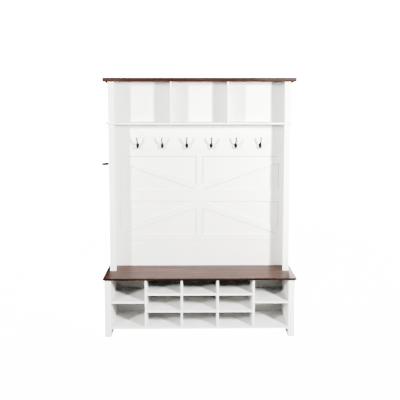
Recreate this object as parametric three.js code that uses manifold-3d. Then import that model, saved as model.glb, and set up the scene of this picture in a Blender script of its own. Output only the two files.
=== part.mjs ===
// Hall tree with hooks: a shoe bench with a walnut seat, a panelled hutch with
// coat hooks, and a row of three cubbies under a walnut top.
// Millimetres, +Z up, front towards -Y, origin on the floor under the middle.

import * as THREE from 'three';
import { mergeVertices } from 'three/addons/utils/BufferGeometryUtils.js';
import Module from 'manifold-3d';

const wasm = await Module();
wasm.setup();

// ---------------------------------------------------------------- dimensions

const BOARD = 15; // thickness of the carcass boards
const THIN_BACK = 6; // thickness of the plain backs
const DEPTH = 400; // seat, front edge to wall face
const BACK_Y = DEPTH / 2;
const STILE_WIDTH = 50; // every front stile, upstairs and down

const SEAT_WIDTH = 1500;
const SEAT_TOP_Z = 475;
const SEAT_LIP = 20; // seat edge ahead of the bench front

const BENCH_WIDTH = 1482;
const BENCH_FRONT_Y = -BACK_Y + SEAT_LIP;
const BENCH_TOP_Z = SEAT_TOP_Z - BOARD;
const FLOOR_SHELF_Z = 66; // underside of the raised floor shelf
const DIVIDER_X = [-420, -140, 140, 420];
const TALL_COLUMN_SHELF_Z = [271]; // undersides, outer columns
const SHORT_COLUMN_SHELF_Z = [199, 334]; // undersides, three middle columns
const SHELF_SETBACK = 2;

const HUTCH_WIDTH = 1442;
const HUTCH_FRONT_Y = 25;
const MID_SHELF_Z = 1655; // underside
const MID_SHELF_WIDTH = 1478;
const MID_SHELF_LIP = 20;

const BACK_BOARD = 9; // panelled backs behind the hooks
const BATTEN_DEPTH = 6;
const BATTEN_WIDTH = 50;
const CENTRE_BATTEN_WIDTH = 54;
const PANEL_Z = [690, 1062, 1436]; // two framed panels, edge to edge
const HOOK_RAIL_DEPTH = 8;

const TOP_UNDERSIDE_Z = 1990;
const TOP_THICKNESS = 30;
const TOP_WIDTH = 1514;
const TOP_LIP = 40;
const TOP_ROUND = 9; // radius under the front and the ends of the top
const CUBBY_DIVIDER_X = [-225, 225];
const CROWN_HEIGHT = 21;
const CROWN_REACH = 26;

const HOOK_X = [-500, -300, -100, 100, 300, 500];
const HOOK_PLATE_Z = 1472; // middle of each plate
const HOOK_PLATE_HEIGHT = 50;
const HOOK_PLATE_WIDTH = 27;
const HOOK_PLATE_DEPTH = 4;
const HOOK_BAR_RADIUS = 4;
const HOOK_TIP_RADIUS = 6;

const PEG_Z = 1339;
const PEG_Y = 80;
const PEG_REACH = 63;
const PEG_FLANGE_RADIUS = 12;
const PEG_FLANGE_DEPTH = 4;

// ----------------------------------------------------------------- materials

const finishes = {
  white: { color: '#eeedea', roughness: 0.5, metalness: 0 },
  walnut: { color: '#5a352b', roughness: 0.45, metalness: 0 },
  black: { color: '#1b1a1a', roughness: 0.4, metalness: 0.6 },
};

const hallTree = new THREE.Group();

function addMesh(name, finish, geometry) {
  const mesh = new THREE.Mesh(geometry, new THREE.MeshStandardMaterial(finishes[finish]));
  mesh.name = name;
  hallTree.add(mesh);
  return mesh;
}

// A sawn board given by its low and high side on each axis.
function addBoard(name, finish, [x0, x1], [y0, y1], [z0, z1]) {
  const mesh = addMesh(name, finish, new THREE.BoxGeometry(x1 - x0, y1 - y0, z1 - z0));
  mesh.position.set((x0 + x1) / 2, (y0 + y1) / 2, (z0 + z1) / 2);
  return mesh;
}

// ------------------------------------------------------------ solid geometry

// An outline drawn in (x, z), pushed out from y1 to y0.
function extrudeAlongY(outline, y0, y1, curveSegments = 8) {
  const geometry = new THREE.ExtrudeGeometry(outline, {
    depth: y1 - y0,
    bevelEnabled: false,
    curveSegments,
  });
  return geometry.rotateX(Math.PI / 2).translate(0, y1, 0);
}

// An outline drawn in (y, z), pushed out from x0 to x1.
function extrudeAlongX(outline, x0, x1, curveSegments = 8) {
  const geometry = new THREE.ExtrudeGeometry(outline, {
    depth: x1 - x0,
    bevelEnabled: false,
    curveSegments,
  });
  const basis = new THREE.Matrix4().makeBasis(
    new THREE.Vector3(0, 1, 0),
    new THREE.Vector3(0, 0, 1),
    new THREE.Vector3(1, 0, 0),
  );
  return geometry.applyMatrix4(basis).translate(x0, 0, 0);
}

function polygon(points) {
  return new THREE.Shape(points.map(([u, v]) => new THREE.Vector2(u, v)));
}

function toSolid(geometry) {
  const bare = geometry.clone();
  bare.deleteAttribute('normal');
  bare.deleteAttribute('uv');
  const merged = mergeVertices(bare, 1e-4);
  const mesh = new wasm.Mesh({
    numProp: 3,
    vertProperties: new Float32Array(merged.attributes.position.array),
    triVerts: new Uint32Array(merged.index.array),
  });
  return new wasm.Manifold(mesh);
}

function fromSolid(solid) {
  const mesh = solid.getMesh();
  const geometry = new THREE.BufferGeometry();
  geometry.setAttribute('position', new THREE.BufferAttribute(mesh.vertProperties, 3));
  geometry.setIndex(new THREE.BufferAttribute(mesh.triVerts, 1));
  geometry.computeVertexNormals();
  return geometry;
}

function joined(geometries) {
  const solids = geometries.map(toSolid);
  return fromSolid(solids.reduce((whole, solid) => whole.add(solid)));
}

// A round bar that follows a smooth curve through the given points.
function bar(points, radius) {
  const circle = new THREE.Shape().absarc(0, 0, radius, 0, Math.PI * 2);
  const path = new THREE.CatmullRomCurve3(points.map((p) => new THREE.Vector3(...p)));
  return new THREE.ExtrudeGeometry(circle, { extrudePath: path, steps: 14, curveSegments: 6 });
}

function ball([x, y, z], radius) {
  return new THREE.SphereGeometry(radius, 12, 8).translate(x, y, z);
}

// --------------------------------------------------------------------- bench

const sides = { left: -1, right: 1 };
const benchOuterX = BENCH_WIDTH / 2;
const benchInnerX = benchOuterX - STILE_WIDTH;
const benchBackY = BACK_Y - THIN_BACK;
const stileBackY = BENCH_FRONT_Y + BOARD;

// Low and high x of a board that lies between two distances from the middle.
function span(side, near, far) {
  return side < 0 ? [-far, -near] : [near, far];
}

function addBenchEnds() {
  for (const [word, side] of Object.entries(sides)) {
    addBoard(`bench_stile_${word}`, 'white', span(side, benchInnerX, benchOuterX),
      [BENCH_FRONT_Y, stileBackY], [0, BENCH_TOP_Z]);
    addBoard(`bench_outer_side_${word}`, 'white', span(side, benchOuterX - BOARD, benchOuterX),
      [stileBackY, BACK_Y], [0, BENCH_TOP_Z]);
    addBoard(`bench_inner_side_${word}`, 'white', span(side, benchInnerX, benchInnerX + BOARD),
      [stileBackY, benchBackY], [0, BENCH_TOP_Z]);
  }
}

function addBenchShelves() {
  addBoard('bench_floor_shelf', 'white', [-benchInnerX, benchInnerX],
    [BENCH_FRONT_Y, benchBackY], [FLOOR_SHELF_Z, FLOOR_SHELF_Z + BOARD]);
  DIVIDER_X.forEach((x, i) => {
    addBoard(`bench_divider_${i + 1}`, 'white', [x - BOARD / 2, x + BOARD / 2],
      [BENCH_FRONT_Y, benchBackY], [FLOOR_SHELF_Z + BOARD, BENCH_TOP_Z]);
  });
  const walls = [-benchInnerX - BOARD / 2, ...DIVIDER_X, benchInnerX + BOARD / 2];
  for (let column = 0; column < walls.length - 1; column += 1) {
    const outer = column === 0 || column === walls.length - 2;
    const heights = outer ? TALL_COLUMN_SHELF_Z : SHORT_COLUMN_SHELF_Z;
    heights.forEach((z, i) => {
      addBoard(`shoe_shelf_${column + 1}_${i + 1}`, 'white',
        [walls[column] + BOARD / 2, walls[column + 1] - BOARD / 2],
        [BENCH_FRONT_Y + SHELF_SETBACK, benchBackY], [z, z + BOARD]);
    });
  }
}

addBenchEnds();
addBenchShelves();
addBoard('bench_back', 'white', [BOARD - benchOuterX, benchOuterX - BOARD],
  [benchBackY, BACK_Y], [FLOOR_SHELF_Z, BENCH_TOP_Z]);
addBoard('seat', 'walnut', [-SEAT_WIDTH / 2, SEAT_WIDTH / 2], [-BACK_Y, BACK_Y],
  [BENCH_TOP_Z, SEAT_TOP_Z]);

// ----------------------------------------------------- hutch and cubby frames

const hutchOuterX = HUTCH_WIDTH / 2;
const hutchInnerX = hutchOuterX - BOARD;
const hutchBackOfStileY = HUTCH_FRONT_Y + BOARD;
const cubbyFloorZ = MID_SHELF_Z + BOARD;

function addUprights(storey, z0, z1) {
  for (const [word, side] of Object.entries(sides)) {
    addBoard(`${storey}_stile_${word}`, 'white',
      span(side, hutchOuterX - STILE_WIDTH, hutchOuterX),
      [HUTCH_FRONT_Y, hutchBackOfStileY], [z0, z1]);
    addBoard(`${storey}_side_${word}`, 'white', span(side, hutchInnerX, hutchOuterX),
      [hutchBackOfStileY, BACK_Y], [z0, z1]);
  }
}

addUprights('hutch', SEAT_TOP_Z, MID_SHELF_Z);
addUprights('cubby', cubbyFloorZ, TOP_UNDERSIDE_Z);
addBoard('mid_shelf', 'white', [-MID_SHELF_WIDTH / 2, MID_SHELF_WIDTH / 2],
  [HUTCH_FRONT_Y - MID_SHELF_LIP, BACK_Y], [MID_SHELF_Z, cubbyFloorZ]);
CUBBY_DIVIDER_X.forEach((x, i) => {
  addBoard(`cubby_divider_${i + 1}`, 'white', [x - BOARD / 2, x + BOARD / 2],
    [HUTCH_FRONT_Y, BACK_Y - THIN_BACK], [cubbyFloorZ, TOP_UNDERSIDE_Z]);
});
addBoard('cubby_back', 'white', [-hutchInnerX, hutchInnerX],
  [BACK_Y - THIN_BACK, BACK_Y], [cubbyFloorZ, TOP_UNDERSIDE_Z]);

// -------------------------------------------------------------- panelled back

const boardFaceY = BACK_Y - BACK_BOARD;
const battenFaceY = boardFaceY - BATTEN_DEPTH;
const hookFaceY = boardFaceY - HOOK_RAIL_DEPTH;

function addBatten(name, [x0, x1], [z0, z1]) {
  addBoard(name, 'white', [x0, x1], [battenFaceY, boardFaceY], [z0, z1]);
}

// One framed panel. slope is 1 where the diagonals fall towards the middle
// and -1 where they fall towards the sides.
function addFramedPanel(panel, z0, z1, slope) {
  const frameX = hutchInnerX - CENTRE_BATTEN_WIDTH;
  const middleX = CENTRE_BATTEN_WIDTH / 2;
  const low = z0 + BATTEN_WIDTH;
  const high = z1 - BATTEN_WIDTH;
  addBatten(`${panel}_top_rail`, [-frameX, frameX], [high, z1]);
  addBatten(`${panel}_bottom_rail`, [-frameX, frameX], [z0, low]);
  addBatten(`${panel}_centre_batten`, [-middleX, middleX], [low, high]);
  const fall = Math.atan2(high - low - BATTEN_WIDTH, frameX - middleX);
  const cut = BATTEN_WIDTH / Math.cos(fall); // height of the plumb-cut ends
  for (const [word, side] of Object.entries(sides)) {
    addBatten(`${panel}_side_batten_${word}`, span(side, frameX, hutchInnerX), [z0, z1]);
    const outerFoot = slope > 0 ? high - cut : low;
    const innerFoot = slope > 0 ? low : high - cut;
    const outline = polygon([
      [side * frameX, outerFoot],
      [side * middleX, innerFoot],
      [side * middleX, innerFoot + cut],
      [side * frameX, outerFoot + cut],
    ]);
    addMesh(`${panel}_diagonal_${word}`, 'white',
      extrudeAlongY(outline, battenFaceY, boardFaceY));
  }
}

const [panelFoot, panelSeam, panelHead] = PANEL_Z;
addBoard('lower_back', 'white', [-hutchInnerX, hutchInnerX], [boardFaceY, BACK_Y],
  [SEAT_TOP_Z, panelSeam]);
addBoard('upper_back', 'white', [-hutchInnerX, hutchInnerX], [boardFaceY, BACK_Y],
  [panelSeam, MID_SHELF_Z]);
addBoard('hook_rail', 'white', [-hutchInnerX, hutchInnerX], [hookFaceY, boardFaceY],
  [panelHead, MID_SHELF_Z]);
addFramedPanel('lower_panel', panelFoot, panelSeam, -1);
addFramedPanel('upper_panel', panelSeam, panelHead, 1);

// ------------------------------------------------------------- top and crown

// A board outline whose two lower corners, or only the first, are rounded.
function roundedUnder(u0, u1, z0, z1, radius, bothCorners) {
  const shape = new THREE.Shape();
  shape.moveTo(u0, z1);
  shape.lineTo(u0, z0 + radius);
  shape.absarc(u0 + radius, z0 + radius, radius, Math.PI, Math.PI * 1.5, false);
  if (bothCorners) {
    shape.absarc(u1 - radius, z0 + radius, radius, Math.PI * 1.5, Math.PI * 2, false);
  } else {
    shape.lineTo(u1, z0);
  }
  shape.lineTo(u1, z1);
  return shape;
}

function addTop() {
  const topZ = TOP_UNDERSIDE_Z + TOP_THICKNESS;
  const frontY = HUTCH_FRONT_Y - TOP_LIP;
  const endX = TOP_WIDTH / 2;
  const lengthwise = roundedUnder(-endX, endX, TOP_UNDERSIDE_Z, topZ, TOP_ROUND, true);
  const crosswise = roundedUnder(frontY, BACK_Y, TOP_UNDERSIDE_Z, topZ, TOP_ROUND, false);
  const long = toSolid(extrudeAlongY(lengthwise, frontY, BACK_Y));
  const cross = toSolid(extrudeAlongX(crosswise, -endX, endX));
  addMesh('top_board', 'walnut', fromSolid(long.intersect(cross)));
}

function addCrowns() {
  for (const [word, side] of Object.entries(sides)) {
    const outline = new THREE.Shape();
    outline.moveTo(side * hutchOuterX, TOP_UNDERSIDE_Z);
    outline.lineTo(side * hutchOuterX, TOP_UNDERSIDE_Z - CROWN_HEIGHT);
    outline.quadraticCurveTo(
      side * (hutchOuterX + CROWN_REACH * 0.35), TOP_UNDERSIDE_Z - CROWN_HEIGHT * 0.35,
      side * (hutchOuterX + CROWN_REACH), TOP_UNDERSIDE_Z,
    );
    addMesh(`crown_${word}`, 'walnut', extrudeAlongY(outline, HUTCH_FRONT_Y, BACK_Y));
  }
}

addTop();
addCrowns();

// --------------------------------------------------------------------- hooks

// A double coat hook on a wall face at y = 0, its plate centred on z = 0.
function coatHookGeometry() {
  const half = HOOK_PLATE_HEIGHT / 2;
  const plate = new THREE.Shape();
  plate.moveTo(0, -half);
  plate.quadraticCurveTo(HOOK_PLATE_WIDTH, 0, 0, half);
  plate.quadraticCurveTo(-HOOK_PLATE_WIDTH, 0, 0, -half);
  const hatTip = [0, -72, 62];
  const coatTip = [0, -40, -6];
  return joined([
    extrudeAlongY(plate, -HOOK_PLATE_DEPTH, 0, 10),
    bar([[0, -3, 14], [0, -22, 12], [0, -45, 21], [0, -62, 40], hatTip], HOOK_BAR_RADIUS),
    ball(hatTip, HOOK_TIP_RADIUS),
    bar([[0, -3, -8], [0, -14, -18], [0, -28, -20], [0, -37, -15], coatTip], HOOK_BAR_RADIUS),
    ball(coatTip, HOOK_TIP_RADIUS),
  ]);
}

// A tapered peg on the outside of the left side, its flange on x = 0.
function pegGeometry() {
  const flange = new THREE.CylinderGeometry(
    PEG_FLANGE_RADIUS - 2, PEG_FLANGE_RADIUS, PEG_FLANGE_DEPTH, 24,
  );
  flange.translate(0, PEG_FLANGE_DEPTH / 2, 0).rotateZ(Math.PI / 2);
  const rootRadius = 8.5;
  const tipRadius = 6.5;
  const droop = 4;
  const stemLength = PEG_REACH - tipRadius - 1;
  const stem = new THREE.CylinderGeometry(tipRadius, rootRadius, stemLength, 20);
  stem.translate(0, stemLength / 2, 0).rotateZ(Math.PI / 2 + droop / stemLength);
  stem.translate(-1, 0, 0);
  const tip = ball([-1 - stemLength, 0, -droop], tipRadius);
  return joined([flange, stem, tip]);
}

HOOK_X.forEach((x, i) => {
  const hook = addMesh(`coat_hook_${i + 1}`, 'black', coatHookGeometry());
  hook.position.set(x, hookFaceY, HOOK_PLATE_Z);
});
addMesh('side_peg', 'black', pegGeometry()).position.set(-hutchOuterX, PEG_Y, PEG_Z);

// The peg widens the left side, so the whole is moved to keep its middle on the origin.
hallTree.position.x = (hutchOuterX + PEG_REACH - TOP_WIDTH / 2) / 2;

export default hallTree;
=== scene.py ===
# %% [markdown]
# # Hall tree with hooks
# A shoe bench with a walnut seat carries a panelled hutch with coat hooks and a row of
# cubbies. The boards come from the CAD frame, which is loaded first. This script adds what
# a maker would call the finish: surfaces, cast hooks, screws, light and a camera.

# %% Load the frame
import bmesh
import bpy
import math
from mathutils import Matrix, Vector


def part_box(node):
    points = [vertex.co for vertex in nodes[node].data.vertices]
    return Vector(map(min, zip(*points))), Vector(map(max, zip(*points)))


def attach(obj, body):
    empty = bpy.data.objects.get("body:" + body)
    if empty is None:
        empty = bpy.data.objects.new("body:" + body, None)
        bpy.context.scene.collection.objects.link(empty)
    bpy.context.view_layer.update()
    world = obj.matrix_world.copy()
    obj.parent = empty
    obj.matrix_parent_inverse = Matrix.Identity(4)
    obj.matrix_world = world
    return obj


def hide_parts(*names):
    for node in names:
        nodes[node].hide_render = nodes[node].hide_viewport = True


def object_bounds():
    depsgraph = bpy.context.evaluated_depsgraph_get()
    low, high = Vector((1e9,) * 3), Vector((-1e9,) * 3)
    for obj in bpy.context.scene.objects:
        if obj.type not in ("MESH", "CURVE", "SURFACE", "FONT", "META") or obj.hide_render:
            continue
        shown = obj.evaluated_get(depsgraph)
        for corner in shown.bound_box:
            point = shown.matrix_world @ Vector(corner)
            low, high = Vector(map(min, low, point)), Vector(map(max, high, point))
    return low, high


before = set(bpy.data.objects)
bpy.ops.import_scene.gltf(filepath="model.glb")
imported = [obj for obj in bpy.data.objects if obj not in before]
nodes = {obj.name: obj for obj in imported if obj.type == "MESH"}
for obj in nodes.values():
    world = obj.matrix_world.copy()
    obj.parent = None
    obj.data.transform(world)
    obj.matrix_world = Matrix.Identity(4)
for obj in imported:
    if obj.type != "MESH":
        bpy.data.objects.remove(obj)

# %% [markdown]
# ## The size to keep
# Blender works in metres, with the front of the hall tree towards -Y and the floor at zero.
# The box round the boards is measured before anything is added.

MM = 0.001
scene = bpy.context.scene
cad_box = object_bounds()
print("frame loaded:", len(nodes), "nodes,", [round(v, 3) for v in cad_box[1] - cad_box[0]], "m")

# %% [markdown]
# ## Two helpers for node trees
# Every finish below is a small tree of nodes. One function adds a node with its settings
# and links. The other turns the hex colour of a paint chart into the linear numbers that
# the shaders multiply light with.

# %% Helpers: a node, and a colour
def add_node(tree, kind, inputs=None, **settings):
    """Adds a node. settings are its properties; inputs are values, or sockets to join."""
    made = tree.nodes.new(kind)
    for name, value in settings.items():
        setattr(made, name, value)
    for name, value in (inputs or {}).items():
        socket = made.inputs[name]
        if isinstance(value, bpy.types.NodeSocket):
            tree.links.new(value, socket)
        else:
            socket.default_value = value
    return made


def linear(code):
    """An sRGB hex colour as the linear RGBA that the shaders work in."""
    parts = [int(code[i:i + 2], 16) / 255 for i in (1, 3, 5)]
    curved = [c / 12.92 if c <= 0.04045 else ((c + 0.055) / 1.055) ** 2.4 for c in parts]
    return (*curved, 1.0)


# %% [markdown]
# ## Film
# White furniture is printed bright. The curve lifts the mid tones, so that shaded white
# still reads as white, and rolls off softly near the top, so that boards lit by both soft
# boxes keep their edges. Deep shade stays dark. Light is first divided by FILM_WHITE, and
# the points give light in and brightness out.

# %% Film
FILM_WHITE = 2.5
FILM_POINTS = (
    (0.0, 0.0), (0.01, 0.025), (0.024, 0.12), (0.06, 0.31), (0.12, 0.53),
    (0.24, 0.744), (0.4, 0.82), (0.6, 0.95), (1.0, 1.0))
scene.view_settings.view_transform = "Standard"
scene.view_settings.use_curve_mapping = True
film = scene.view_settings.curve_mapping
film.white_level = (FILM_WHITE,) * 3
brightness = film.curves[3]
brightness.points[0].location = FILM_POINTS[0]
brightness.points[1].location = FILM_POINTS[-1]
for point in FILM_POINTS[1:-1]:
    brightness.points.new(*point)
film.update()
print("film curve:", len(brightness.points), "points")

# %% [markdown]
# ## The white sweep
# Furniture like this is shot on a sweep: one roll of white paper that runs from the back
# wall down under the piece. It is overlit, so it prints as pure white. Here the world
# glows for the camera alone and sends no light into the cubbies, which keeps their shade.

# %% World
SWEEP_GLOW = 2.6  # a little over FILM_WHITE
white_sweep = bpy.data.worlds.new("white_sweep")
scene.world = white_sweep
white_sweep.use_nodes = True
sky = white_sweep.node_tree
sky.nodes.clear()
ambient = add_node(sky, "ShaderNodeBackground", {"Color": linear("#ffffff"), "Strength": 0.0})
backdrop = add_node(sky, "ShaderNodeBackground", {
    "Color": linear("#ffffff"), "Strength": SWEEP_GLOW})
rays = add_node(sky, "ShaderNodeLightPath")
seen = add_node(sky, "ShaderNodeMixShader", {
    "Fac": rays.outputs["Is Camera Ray"],
    1: ambient.outputs["Background"],
    2: backdrop.outputs["Background"],
})
add_node(sky, "ShaderNodeOutputWorld", {"Surface": seen.outputs["Shader"]})
print("world:", white_sweep.name)

# %% [markdown]
# ## The floor
# The floor is the same white paper, so it glows as much as the world and the two run into
# each other. Its glow is for the camera alone. What the real sweep throws back up under
# the shelves is plain bounced light, which a second, greyer sheet just below gives.

# %% Floor
FLOOR_HALF = 14.0
BOUNCE_Z = -2 * MM


def paper_sheet(name, z, paper_name, colour):
    """A large square sheet of matt paper at height z, which belongs to the studio."""
    mesh = bpy.data.meshes.new(name)
    mesh.from_pydata(
        [(-FLOOR_HALF, -FLOOR_HALF, z), (FLOOR_HALF, -FLOOR_HALF, z),
         (FLOOR_HALF, FLOOR_HALF, z), (-FLOOR_HALF, FLOOR_HALF, z)], [], [(0, 1, 2, 3)])
    paper = bpy.data.materials.new(paper_name)
    paper.use_nodes = True
    shader = paper.node_tree.nodes["Principled BSDF"]
    shader.inputs["Base Color"].default_value = linear(colour)
    shader.inputs["Roughness"].default_value = 0.9
    mesh.materials.append(paper)
    sheet = bpy.data.objects.new(name, mesh)
    scene.collection.objects.link(sheet)
    return sheet, shader


floor, glowing = paper_sheet("floor", 0.0, "white_paper_sweep", "#f4f4f4")
glowing.inputs["Emission Color"].default_value = linear("#ffffff")
glowing.inputs["Emission Strength"].default_value = SWEEP_GLOW
floor.visible_diffuse = False
floor.visible_glossy = False
floor.visible_shadow = False
bounce, _ = paper_sheet("floor_bounce", BOUNCE_Z, "matt_paper", "#8e8e8e")
bounce.visible_camera = False
print("floor sheets:", floor.name, bounce.name)

# %% [markdown]
# ## Soft boxes
# Two small soft boxes stand in front, one to each side and a little above the top board.
# Each throws its own shadow of the uprights, so every cubby has a shaded band on both
# sides, and each hook two faint shadows. A larger box behind gives the back its light.

# %% Lights
def add_soft_box(name, place, aim_at, width, height, watts):
    """A rectangular lamp, in metres, turned towards a point on the hall tree."""
    lamp = bpy.data.lights.new(name, "AREA")
    lamp.shape = "RECTANGLE"
    lamp.size = width
    lamp.size_y = height
    lamp.energy = watts
    holder = bpy.data.objects.new(name, lamp)
    scene.collection.objects.link(holder)
    holder.location = place
    beam = Vector(aim_at) - Vector(place)
    holder.rotation_euler = beam.to_track_quat("-Z", "Y").to_euler()
    holder.visible_camera = False


middle = (cad_box[0] + cad_box[1]) / 2
hutch_middle = (middle.x, 0.1, 1.1)
back_middle = (middle.x, 0.2, 1.0)
add_soft_box("soft_box_left", (-3.40, -4.19, 2.35), hutch_middle, 0.38, 0.74, 201)
add_soft_box("soft_box_right", (2.30, -3.1, 2.10), hutch_middle, 0.34, 0.6, 196)
add_soft_box("soft_box_behind", (0.6, 4.2, 2.2), back_middle, 1.6, 1.2, 110)

# %% [markdown]
# ## The camera
# It stands about five metres in front at a tall person's eye height, a touch left of the
# middle, with a short portrait lens. It looks a little down, which shows the seat and the
# shelves from above, and the frame is shifted to hold the top board as well as the feet.

# %% Camera
LOOK_DOWN = 5.6  # degrees
TURN_RIGHT = 0.544  # degrees
camera_data = bpy.data.cameras.new("camera")
camera_data.sensor_width = 36.0
camera_data.lens = 56.46
camera_data.shift_y = -0.10
camera = bpy.data.objects.new("camera", camera_data)
camera.location = (-0.030, -4.931, 1.8585)
camera.rotation_euler = (math.radians(90 - LOOK_DOWN), 0, math.radians(-TURN_RIGHT))
scene.collection.objects.link(camera)
scene.camera = camera
print("camera lens:", camera_data.lens, "mm")

# %% [markdown]
# ## Starting a finish
# Both helpers serve every finish of this hall tree. Patterns are measured on the board in
# millimetres: a grain has a length along the board and a much smaller width across it.

# %% Helpers: an empty material, and a grain's direction
def new_material(name):
    material = bpy.data.materials.new(name)
    material.use_nodes = True
    tree = material.node_tree
    tree.nodes.clear()
    return material, tree


def stretched(tree, along, across, axis):
    """Object coordinates divided by a pattern's length along the grain and width across."""
    size = [across, across, across]
    size["XYZ".index(axis)] = along
    place = add_node(tree, "ShaderNodeTexCoord")
    return add_node(tree, "ShaderNodeMapping", {
        "Vector": place.outputs["Object"],
        "Scale": tuple(1 / (s * MM) for s in size),
    })


# %% [markdown]
# ## White melamine board
# The carcass is particle board faced with white melamine, a hard satin resin paper. The
# plate that presses it leaves a very shallow grain, which only shows as a slight break in
# the sheen. That grain is about 0.3 mm wide and is drawn at 1.6 mm, so that it shows. A
# slow cloud keeps wide boards from looking like flat plastic. The back of the bench is
# thin hardboard, printed greyer than the other white boards: painted shade for the shade
# deep at the back of the cubbies.

# %% Material: white melamine
def white_melamine(name, axis, dull="#e3e2df", bright="#e9e8e6"):
    material, tree = new_material(name)
    grain_place = stretched(tree, along=90, across=1.6, axis=axis)
    grain = add_node(tree, "ShaderNodeTexNoise", {
        "Vector": grain_place.outputs["Vector"], "Scale": 1.0, "Detail": 3.0})
    cloud_place = stretched(tree, along=240, across=160, axis=axis)
    cloud = add_node(tree, "ShaderNodeTexNoise", {
        "Vector": cloud_place.outputs["Vector"], "Scale": 1.0, "Detail": 2.0})
    tone = add_node(tree, "ShaderNodeValToRGB", {"Fac": cloud.outputs["Fac"]})
    tone.color_ramp.elements[0].color = linear(dull)
    tone.color_ramp.elements[1].color = linear(bright)
    sheen = add_node(tree, "ShaderNodeMapRange", {
        "Value": grain.outputs["Fac"], "To Min": 0.38, "To Max": 0.52})
    bump = add_node(tree, "ShaderNodeBump", {
        "Height": grain.outputs["Fac"], "Strength": 0.35, "Distance": 0.03 * MM})
    shader = add_node(tree, "ShaderNodeBsdfPrincipled", {
        "Base Color": tone.outputs["Color"],
        "Roughness": sheen.outputs["Result"],
        "Normal": bump.outputs["Normal"],
        "IOR": 1.5,
    })
    add_node(tree, "ShaderNodeOutputMaterial", {"Surface": shader.outputs["BSDF"]})
    return material


white_lengthwise = white_melamine("white_melamine_lengthwise", "X")
white_upright = white_melamine("white_melamine_upright", "Z")
# Painted shade: the bench back is printed grey for the shade deep at the back of the cubbies.
bench_back_painted_shade = white_melamine("hardboard_white_painted_shade", "Z", "#bdbcb9", "#c6c5c2")
print("white finishes:", white_lengthwise.name, white_upright.name, bench_back_painted_shade.name)

# %% [markdown]
# ## Walnut print
# The seat and the top are faced with a printed walnut paper. The print has broad light and
# dark bands 26 mm wide, streaks of 4.5 mm inside them, and short dark pores. Real walnut
# pores are about 0.2 mm wide; they are drawn at 1.3 mm, so that they show.

# %% Walnut print
def walnut_print(tree):
    """The printed wood's colour, with the pores' and the streaks' patterns."""
    band_place = stretched(tree, along=420, across=26, axis="X")
    bands = add_node(tree, "ShaderNodeTexNoise", {
        "Vector": band_place.outputs["Vector"], "Scale": 1.0, "Detail": 4.0,
        "Roughness": 0.55, "Distortion": 0.6})
    streak_place = stretched(tree, along=160, across=4.5, axis="X")
    streaks = add_node(tree, "ShaderNodeTexNoise", {
        "Vector": streak_place.outputs["Vector"], "Scale": 1.0, "Detail": 5.0,
        "Roughness": 0.6})
    both = add_node(tree, "ShaderNodeMix", {
        "Factor": 0.45, "A": bands.outputs["Fac"], "B": streaks.outputs["Fac"]})
    tone = add_node(tree, "ShaderNodeValToRGB", {"Fac": both.outputs["Result"]})
    ramp = tone.color_ramp
    ramp.elements[0].position = 0.33
    ramp.elements[0].color = linear("#37221a")
    ramp.elements[1].position = 0.68
    ramp.elements[1].color = linear("#745041")
    ramp.elements.new(0.5).color = linear("#52372c")
    pore_place = stretched(tree, along=22, across=1.3, axis="X")
    pores = add_node(tree, "ShaderNodeTexNoise", {
        "Vector": pore_place.outputs["Vector"], "Scale": 1.0, "Detail": 1.0})
    pore_depth = add_node(tree, "ShaderNodeMapRange", {
        "Value": pores.outputs["Fac"], "From Min": 0.28, "From Max": 0.42,
        "To Min": 0.62, "To Max": 1.0})
    colour = add_node(tree, "ShaderNodeMix", {
        "Factor": 1.0, "A": tone.outputs["Color"], "B": pore_depth.outputs["Result"],
    }, data_type="RGBA", blend_type="MULTIPLY")
    return colour.outputs["Result"], pore_depth.outputs["Result"], streaks.outputs["Fac"]


# %% [markdown]
# ## Walnut laminate
# The full print is on the upper face of a board. The faces that don't look up are darker:
# the edges partly because they wear a darker band and partly by painted shade, and the
# faces that look down near-black, which is painted shade that keeps the cubbies below
# dark. The upright part of the surface's normal sets how much darker a face is. A satin
# resin covers the print, and it is a little glossier on the streaks than between them.

# %% Material: walnut laminate
# From FACE_STARTS to FACE_FULL the edges' darker band and painted shade fade into the full print.
FACE_STARTS, FACE_FULL = 0.3, 0.8  # upward part of the normal, edge band to face
UNDERSIDE_BELOW = -0.7
# Painted shade: faces that look down are near-black, so the cubbies below stay dark.
UNDERSIDE_PAINTED_SHADE = "#0c0908"


def walnut_with_painted_shade(tree, print_colour, face_shade, edge_shade):
    """The print on the face, darker on the edges by a darker band and painted shade, and near-black
    below as painted shade.
    """
    facing = add_node(tree, "ShaderNodeNewGeometry")
    upward = add_node(tree, "ShaderNodeSeparateXYZ", {"Vector": facing.outputs["Normal"]})
    shade = add_node(tree, "ShaderNodeMapRange", {
        "Value": upward.outputs["Z"], "From Min": FACE_STARTS, "From Max": FACE_FULL,
        "To Min": edge_shade, "To Max": face_shade})
    edges_darkened = add_node(tree, "ShaderNodeMix", {
        "Factor": 1.0, "A": print_colour, "B": shade.outputs["Result"],
    }, data_type="RGBA", blend_type="MULTIPLY")
    under = add_node(tree, "ShaderNodeMath", {
        0: upward.outputs["Z"], 1: UNDERSIDE_BELOW}, operation="LESS_THAN")
    print_and_painted_shade = add_node(tree, "ShaderNodeMix", {
        "Factor": under.outputs["Value"], "A": edges_darkened.outputs["Result"],
        "B": linear(UNDERSIDE_PAINTED_SHADE)}, data_type="RGBA")
    return print_and_painted_shade.outputs["Result"]


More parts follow.
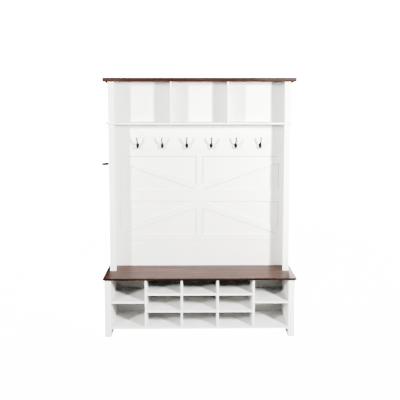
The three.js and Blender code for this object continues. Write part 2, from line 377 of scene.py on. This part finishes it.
def walnut_laminate(name, face_shade, edge_shade):
    material, tree = new_material(name)
    print_colour, pore_depth, streaks = walnut_print(tree)
    sheen = add_node(tree, "ShaderNodeMapRange", {
        "Value": streaks, "To Min": 0.36, "To Max": 0.48})
    bump = add_node(tree, "ShaderNodeBump", {
        "Height": pore_depth, "Strength": 0.4, "Distance": 0.06 * MM})
    shader = add_node(tree, "ShaderNodeBsdfPrincipled", {
        "Base Color": walnut_with_painted_shade(tree, print_colour, face_shade, edge_shade),
        "Roughness": sheen.outputs["Result"],
        "Normal": bump.outputs["Normal"],
        "IOR": 1.45,
        "Specular IOR Level": 0.2,
    })
    add_node(tree, "ShaderNodeOutputMaterial", {"Surface": shader.outputs["BSDF"]})
    return material


# Painted shade: the seat is the top's laminate printed darker, a little on its face and more on its
# edges.
seat_walnut_painted_darker = walnut_laminate("seat_walnut_laminate_painted_shade", face_shade=0.92, edge_shade=0.2)
walnut_top = walnut_laminate("walnut_laminate_top", face_shade=1.0, edge_shade=0.4)
print("walnut finishes:", seat_walnut_painted_darker.name, walnut_top.name)

# %% [markdown]
# ## Black powder coat
# The hooks are cast zinc under black powder coat. The powder melts in an oven and flows
# into a skin with a fine orange peel, about 1 mm from bump to bump, so the metal has no
# sharp highlights and only a dull gleam.

# %% Material: black powder coat
def black_powder_coat():
    material, tree = new_material("black_powder_coat_on_zinc")
    peel_place = stretched(tree, along=1.1, across=1.1, axis="X")
    peel = add_node(tree, "ShaderNodeTexNoise", {
        "Vector": peel_place.outputs["Vector"], "Scale": 1.0, "Detail": 2.0})
    tone = add_node(tree, "ShaderNodeValToRGB", {"Fac": peel.outputs["Fac"]})
    tone.color_ramp.elements[0].color = linear("#060606")
    tone.color_ramp.elements[1].color = linear("#0d0d0c")
    sheen = add_node(tree, "ShaderNodeMapRange", {
        "Value": peel.outputs["Fac"], "To Min": 0.44, "To Max": 0.58})
    bump = add_node(tree, "ShaderNodeBump", {
        "Height": peel.outputs["Fac"], "Strength": 0.3, "Distance": 0.08 * MM})
    shader = add_node(tree, "ShaderNodeBsdfPrincipled", {
        "Base Color": tone.outputs["Color"],
        "Roughness": sheen.outputs["Result"],
        "Normal": bump.outputs["Normal"],
        "IOR": 1.5,
        "Specular IOR Level": 0.2,
    })
    add_node(tree, "ShaderNodeOutputMaterial", {"Surface": shader.outputs["BSDF"]})
    return material


powder_coat = black_powder_coat()
print("metal finish:", powder_coat.name)

# %% [markdown]
# ## Finishing the boards
# Every board keeps its CAD shape. A small bevel stands for the sanded edge of its banding,
# wider on the seat and the top, which hands and legs rub against, and almost none on the
# framing strips. The finish follows what a board is: uprights have upright grain, shelves
# and rails lengthwise grain.

# %% Dress the CAD nodes
EASED_EDGES = {"seat": 2.0, "top_board": 1.5}
STRIP_EDGE = 0.15
BOARD_EDGE = 0.8
WALNUT_TOP_NODES = ("top_board", "crown_left", "crown_right")
UPRIGHT_WORDS = ("stile", "side", "divider", "centre_batten")


def finish_for(name):
    if name == "seat":
        return seat_walnut_painted_darker
    if name in WALNUT_TOP_NODES:
        return walnut_top
    if name.startswith("coat_hook") or name == "side_peg":
        return powder_coat
    if name == "bench_back":
        return bench_back_painted_shade
    if any(word in name for word in UPRIGHT_WORDS):
        return white_upright
    return white_lengthwise


for name, board in nodes.items():
    board.data.materials.clear()
    board.data.materials.append(finish_for(name))
    if finish_for(name) is powder_coat:
        continue
    edge = board.modifiers.new("eased_edge", "BEVEL")
    edge.width = EASED_EDGES.get(name, STRIP_EDGE if "panel" in name else BOARD_EDGE) * MM
    edge.segments = 2
    edge.limit_method = "ANGLE"
    edge.harden_normals = False
print("dressed", len(nodes), "nodes")

# %% [markdown]
# ## Adding a piece
# The pieces below are easiest to draw in millimetres. The first helper ends such a drawing
# as a closed mesh in metres whose faces look outward. The second puts it on the hall tree,
# which is one rigid body called root.

# %% Helpers: a mesh, and a piece
def mesh_of(name, shell):
    """Ends a bmesh drawn in millimetres as a mesh in metres with outward faces."""
    bmesh.ops.recalc_face_normals(shell, faces=shell.faces)
    bmesh.ops.scale(shell, vec=(MM, MM, MM), verts=shell.verts)
    mesh = bpy.data.meshes.new(name)
    shell.to_mesh(mesh)
    shell.free()
    for face in mesh.polygons:
        face.use_smooth = True
    return mesh


def add_piece(name, mesh, place, material):
    """Puts a mesh in the scene as a piece of the object that rides on the root body."""
    piece = bpy.data.objects.new(name, mesh)
    scene.collection.objects.link(piece)
    piece.location = place
    if not mesh.materials:
        mesh.materials.append(material)
    bpy.context.view_layer.update()
    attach(piece, "root")
    return piece


# %% [markdown]
# ## Painted shadow lines
# The framing strips are fixed onto the faced back board, most likely with pins and glue.
# The shadow that each strip casts on the board is painted on as a matt, uneven grey.

# %% Material: painted shadow
def painted_shadow_material():
    material, tree = new_material("grey_painted_shadow")
    mottle_place = stretched(tree, along=3.0, across=3.0, axis="X")
    mottle = add_node(tree, "ShaderNodeTexNoise", {
        "Vector": mottle_place.outputs["Vector"], "Scale": 1.0, "Detail": 3.0})
    tone = add_node(tree, "ShaderNodeValToRGB", {"Fac": mottle.outputs["Fac"]})
    tone.color_ramp.elements[0].color = linear("#403e3b")
    tone.color_ramp.elements[1].color = linear("#5c5a56")
    bump = add_node(tree, "ShaderNodeBump", {
        "Height": mottle.outputs["Fac"], "Strength": 0.4, "Distance": 0.1 * MM})
    shader = add_node(tree, "ShaderNodeBsdfPrincipled", {
        "Base Color": tone.outputs["Color"], "Roughness": 0.8,
        "Normal": bump.outputs["Normal"]})
    add_node(tree, "ShaderNodeOutputMaterial", {"Surface": shader.outputs["BSDF"]})
    return material


shadow_paint = painted_shadow_material()
print("filler:", shadow_paint.name)

# %% [markdown]
# ## Painted shadow lines of the panels
# The shadow below and beside each strip is painted as a fine grey line, while the upper
# edges catch the light and get none. A line is a thin bar laid along the foot of a strip's
# side face, so it follows the strips whatever their shape. A real joint is well under 1 mm;
# the painted line is 2.4 mm wide, because a finer one would not show from across a room.

# %% Helper: the foot of a strip
SQUARE_TO_BOARD = 0.1  # how far a side face's normal may lean towards the board
AT_FOOT = 0.1


def foot_lines(board):
    """The back edges of a strip's side faces that don't look up, with their outward side."""
    corners = [board.matrix_world @ v.co / MM for v in board.data.vertices]
    foot = max(c.y for c in corners)
    lines = set()
    for face in board.data.polygons:
        out = (board.matrix_world.to_3x3() @ face.normal).normalized()
        if abs(out.y) > SQUARE_TO_BOARD or out.z > SQUARE_TO_BOARD:
            continue
        at_foot = [corners[i] for i in face.vertices if foot - corners[i].y < AT_FOOT]
        if len(at_foot) == 2:
            lines.add((at_foot[0].to_tuple(3), at_foot[1].to_tuple(3), out.to_tuple(4)))
    return [[Vector(part) for part in line] for line in sorted(lines)]


# %% [markdown]
# Each painted shadow line is a long closed bar of four sides: flat on the board, thickest
# against the strip and slightly chamfered on the free side. All lines of one panel make one
# piece.

# %% Painted shadow lines
SHADOW_LINE_WIDTH = 2.4
SHADOW_LINE_CREST = 0.8  # share of the width that the flat crest takes
SHADOW_LINE_LIFT = Vector((0, -0.4, 0))


def lay_shadow_line(shadow_line_shell, a, b, out):
    """A closed bar from a to b, whose section lies on the board and reaches outward."""
    made = []
    for end in (a, b):
        section = (end, end + out * SHADOW_LINE_WIDTH,
                   end + out * SHADOW_LINE_WIDTH * SHADOW_LINE_CREST + SHADOW_LINE_LIFT, end + SHADOW_LINE_LIFT)
        made.append([shadow_line_shell.verts.new(p) for p in section])
    for i in range(4):
        j = (i + 1) % 4
        shadow_line_shell.faces.new((made[0][i], made[0][j], made[1][j], made[1][i]))
    shadow_line_shell.faces.new(made[0][::-1])
    shadow_line_shell.faces.new(made[1])


# Painted shadow: every panel gets grey lines below and beside its strips.
for panel in ("upper_panel", "lower_panel"):
    shadow_line_shell = bmesh.new()
    shadowed_edges = [line for name, board in nodes.items() if name.startswith(panel)
              for line in foot_lines(board)]
    for a, b, out in shadowed_edges:
        lay_shadow_line(shadow_line_shell, a, b, out)
    shadow_line_mesh = mesh_of(f"{panel}_painted_shadow_lines", shadow_line_shell)
    add_piece(f"{panel}_painted_shadow_lines", shadow_line_mesh, (0, 0, 0), shadow_paint)
    print(panel, "joint lines:", len(shadowed_edges))

# %% [markdown]
# ## Round bars
# A hook's arms and the peg are round bars of changing thickness. Such a bar is a row of
# rings joined into one skin. Its middle line is a smooth curve through a few points, and
# every ring stands square to that line.

# %% Helpers: a smooth path and a skin over rings
def smooth_path(points, steps=8):
    """A Catmull-Rom curve through the points, as a list of Vectors."""
    ends = [2 * points[0] - points[1], *points, 2 * points[-1] - points[-2]]
    path = []
    for a, b, c, d in zip(ends, ends[1:], ends[2:], ends[3:]):
        for i in range(steps):
            t = i / steps
            path.append(0.5 * (2 * b + (c - a) * t + (2 * a - 5 * b + 4 * c - d) * t ** 2
                               + (3 * b - a - 3 * c + d) * t ** 3))
    return [*path, points[-1]]


def loft(shell, rings):
    """Joins rings of points into one closed skin, with a flat cap on each end."""
    made = [[shell.verts.new(p) for p in ring] for ring in rings]
    for low, high in zip(made, made[1:]):
        for i in range(len(low)):
            j = (i + 1) % len(low)
            shell.faces.new((low[i], low[j], high[j], high[i]))
    shell.faces.new(made[0][::-1])
    shell.faces.new(made[-1])


def circle_round(centre, direction, radius, side, count=24):
    """A ring of points square to a direction. side is any vector square to it."""
    up = direction.cross(side)
    turns = [2 * math.pi * i / count for i in range(count)]
    return [centre + radius * (math.cos(t) * side + math.sin(t) * up) for t in turns]


# %% [markdown]
# ## A hook's arm
# A cast arm is thickest at the plate and thins towards its end, fast at first and then
# slowly. It ends in a round bead that keeps a coat from being torn, so the last rings
# follow a ball that starts where its radius equals that of the bar.

# %% Helper: an arm that ends in a bead
THINNING = 0.7  # below 1, most of the taper comes near the plate
BEAD_RINGS = 9
BEAD_END = math.radians(88)


def sweep_with_bead(shell, points, root, tip, bead, side):
    """A bar along the points that thins from root to tip radius and ends in a bead."""
    path = smooth_path([Vector(p) for p in points])
    last = len(path) - 1
    rings = []
    for i, centre in enumerate(path):
        ahead = path[min(i + 1, last)] - path[max(i - 1, 0)]
        radius = root + (tip - root) * (i / last) ** THINNING
        rings.append(circle_round(centre, ahead.normalized(), radius, side))
    onward = (path[-1] - path[-2]).normalized()
    start = -math.acos(tip / bead)
    for i in range(1, BEAD_RINGS + 1):
        turn = start + (BEAD_END - start) * i / BEAD_RINGS
        centre = path[-1] + onward * bead * (math.sin(turn) - math.sin(start))
        rings.append(circle_round(centre, onward, bead * math.cos(turn), side))
    loft(shell, rings)


# %% [markdown]
# ## Cast double hooks
# Each coat hook is one zinc casting: an almond plate, a long arm for hats and a short one
# for coats. The plate is a stack of almond outlines that shrink towards the front, which
# rounds its rim. Points are in millimetres from the middle of the plate's back, with the
# room towards -Y.

# %% Shape of a hook
PLATE_HALF_WIDTH = 13.3
PLATE_HALF_HEIGHT = 24.8
PLATE_STEPS = ((1.0, 0.0), (1.0, -2.2), (0.95, -3.1), (0.85, -3.7), (0.5, -4.1))
HAT_ARM = ((0, -2, 13), (0, -14, 11.5), (0, -30, 13.5), (0, -46, 21.5), (0, -60, 36),
           (0, -68, 50), (0, -71.5, 60))
COAT_ARM = ((0, -2, -6), (0, -9, -14), (0, -20, -20), (0, -31, -19), (0, -38, -12),
            (0, -40, -7))
SIDEWAYS = Vector((1, 0, 0))


def almond(scale, y, count=14):
    """Points round an almond outline, scaled about its middle, at depth y."""
    steps = [i / count for i in range(count)]
    right = [(4 * PLATE_HALF_WIDTH * t * (1 - t), (2 * t - 1) * PLATE_HALF_HEIGHT)
             for t in steps]
    outline = right + [(-x, -z) for x, z in right]
    return [Vector((x * scale, y, z * scale)) for x, z in outline]


casting = bmesh.new()
loft(casting, [almond(scale, y) for scale, y in PLATE_STEPS])
sweep_with_bead(casting, HAT_ARM, root=5.6, tip=4.6, bead=6.2, side=SIDEWAYS)
sweep_with_bead(casting, COAT_ARM, root=5.4, tip=4.4, bead=6.0, side=SIDEWAYS)
hook_mesh = mesh_of("cast_double_hook", casting)
print("one hook:", len(hook_mesh.vertices), "points before it is fused")

# %% [markdown]
# ## Fusing and hanging the hooks
# The plate and the arms are still three loose skins. A voxel remesh fuses them into one,
# and a little smoothing leaves the soft inside corners of a casting. The six hooks share
# this mesh and stand in for the plain CAD hooks. The CAD hooks stand about 5 mm too low and
# too far right on the rail, which HOOK_SETTING corrects here.

# %% Coat hooks
CASTING_VOXEL = 0.8
CORNER_ROUNDS = 3
PLATE_ABOVE_BOTTOM = 25  # from the lowest point of a CAD hook up to the middle of its plate
HOOK_SETTING = Vector((-3.4, 0.0, 4.0))


def fuse_casting(piece):
    """Fuses loose shells into one skin and softens the inside corners."""
    skin = piece.modifiers.new("one_skin", "REMESH")
    skin.mode = "VOXEL"
    skin.voxel_size = CASTING_VOXEL * MM
    skin.use_smooth_shade = True
    soften = piece.modifiers.new("soft_corners", "SMOOTH")
    soften.factor = 0.5
    soften.iterations = CORNER_ROUNDS


hook_places = []
for number in range(1, 7):
    low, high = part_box(f"coat_hook_{number}")
    mark = Vector(((low.x + high.x) / 2, high.y, low.z + PLATE_ABOVE_BOTTOM * MM))
    hook_places.append(mark + HOOK_SETTING * MM)
    hook = add_piece(f"cast_double_hook_{number}", hook_mesh, hook_places[-1],
                     powder_coat)
    fuse_casting(hook)
    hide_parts(f"coat_hook_{number}")
print("hooks hung:", len(hook_places))

# %% [markdown]
# ## Side peg
# The peg on the left end is turned and powder coated too: a flange against the side, a
# stout stem that thins a little and hangs a few millimetres low, and a domed end. It is a
# row of circles round the stem, given by their distance out and their radius. The stem is 3
# to 5 mm thicker than the plain CAD one, because a thin dark bar looks thinner on white.

# %% Side peg
PEG_PROFILE = ((0.0, 11.8), (2.2, 11.8), (3.4, 11.4), (4.0, 10.8), (5.5, 10.4), (9.0, 10.2),
               (25.0, 10.0), (42.0, 9.6), (52.0, 9.1), (57.0, 8.2), (60.0, 6.4),
               (61.8, 4.0), (62.6, 1.4))
PEG_DROOP = 4.0
DROOP_BEND = 1.5  # above 1, the stem leaves the flange square and droops towards its end
PEG_BELOW_TOP = 13.5  # from the CAD flange's top to the stem; the CAD stem is 1.5 mm higher
OUTWARD = Vector((-1, 0, 0))

low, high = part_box("side_peg")
reach = (high.x - low.x) / MM
turned = bmesh.new()
loft(turned, [
    circle_round(Vector((-out, 0, -PEG_DROOP * (out / reach) ** DROOP_BEND)), OUTWARD,
                 radius, Vector((0, 1, 0)), count=40)
    for out, radius in PEG_PROFILE])
peg = add_piece("turned_side_peg", mesh_of("turned_peg", turned),
                Vector((high.x, (low.y + high.y) / 2, high.z - PEG_BELOW_TOP * MM)),
                powder_coat)
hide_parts("side_peg")
print("side peg reaches", round(reach, 1), "mm")

# %% [markdown]
# ## A pan-head screw
# Two small screws hold every plate. A head is a dome of rings on a short cylinder. The
# cross recess is pressed in: points of the dome that fall inside the cross are moved down.

# %% Shape of a screw
SCREW_RADIUS = 2.3
SCREW_HEIGHT = 1.5
DOME_DROP = 0.45  # share of the height that is lost at the rim
RECESS_HALF_WIDTH = 0.35
RECESS_REACH = 1.35
RECESS_DEPTH = 0.8
HEAD_RINGS = 16
HEAD_TURNS = [2 * math.pi * i / 48 for i in range(48)]


def head_height(x, z):
    """How far the dome stands off the plate at a point, with the recess taken away."""
    dome = SCREW_HEIGHT * (1 - DOME_DROP * (x * x + z * z) / SCREW_RADIUS ** 2)
    thin, long = sorted((abs(x), abs(z)))
    in_cross = thin < RECESS_HALF_WIDTH and long < RECESS_REACH
    return dome - (RECESS_DEPTH if in_cross else 0)


def dome_ring(radius):
    round_points = [(radius * math.cos(t), radius * math.sin(t)) for t in HEAD_TURNS]
    return [Vector((x, -head_height(x, z), z)) for x, z in round_points]


foot_ring = [Vector((SCREW_RADIUS * math.cos(t), 0, SCREW_RADIUS * math.sin(t)))
             for t in HEAD_TURNS]
screw = bmesh.new()
loft(screw, [foot_ring] + [dome_ring(SCREW_RADIUS * step / HEAD_RINGS)
                           for step in range(HEAD_RINGS, 0, -1)])
screw_mesh = mesh_of("pan_head_screw", screw)
print("one screw:", len(screw_mesh.vertices), "points")

# %% [markdown]
# ## Hook screws
# One screw sits near the upper point of each plate and one between the two arms, where a
# screwdriver still reaches it. Both rest on the rounded face of the plate, so they stand
# off the rail by nearly its whole thickness.

# %% Hook screws
SCREW_SPOTS = {"upper": (20.6, 3.4), "lower": (2.6, 3.9)}  # above the middle, off the rail
for number, place in enumerate(hook_places, start=1):
    for word, (up, off) in SCREW_SPOTS.items():
        add_piece(f"hook_screw_{number}_{word}", screw_mesh,
                  place + Vector((0, -off * MM, up * MM)), powder_coat)
print("screws:", len(SCREW_SPOTS) * len(hook_places))
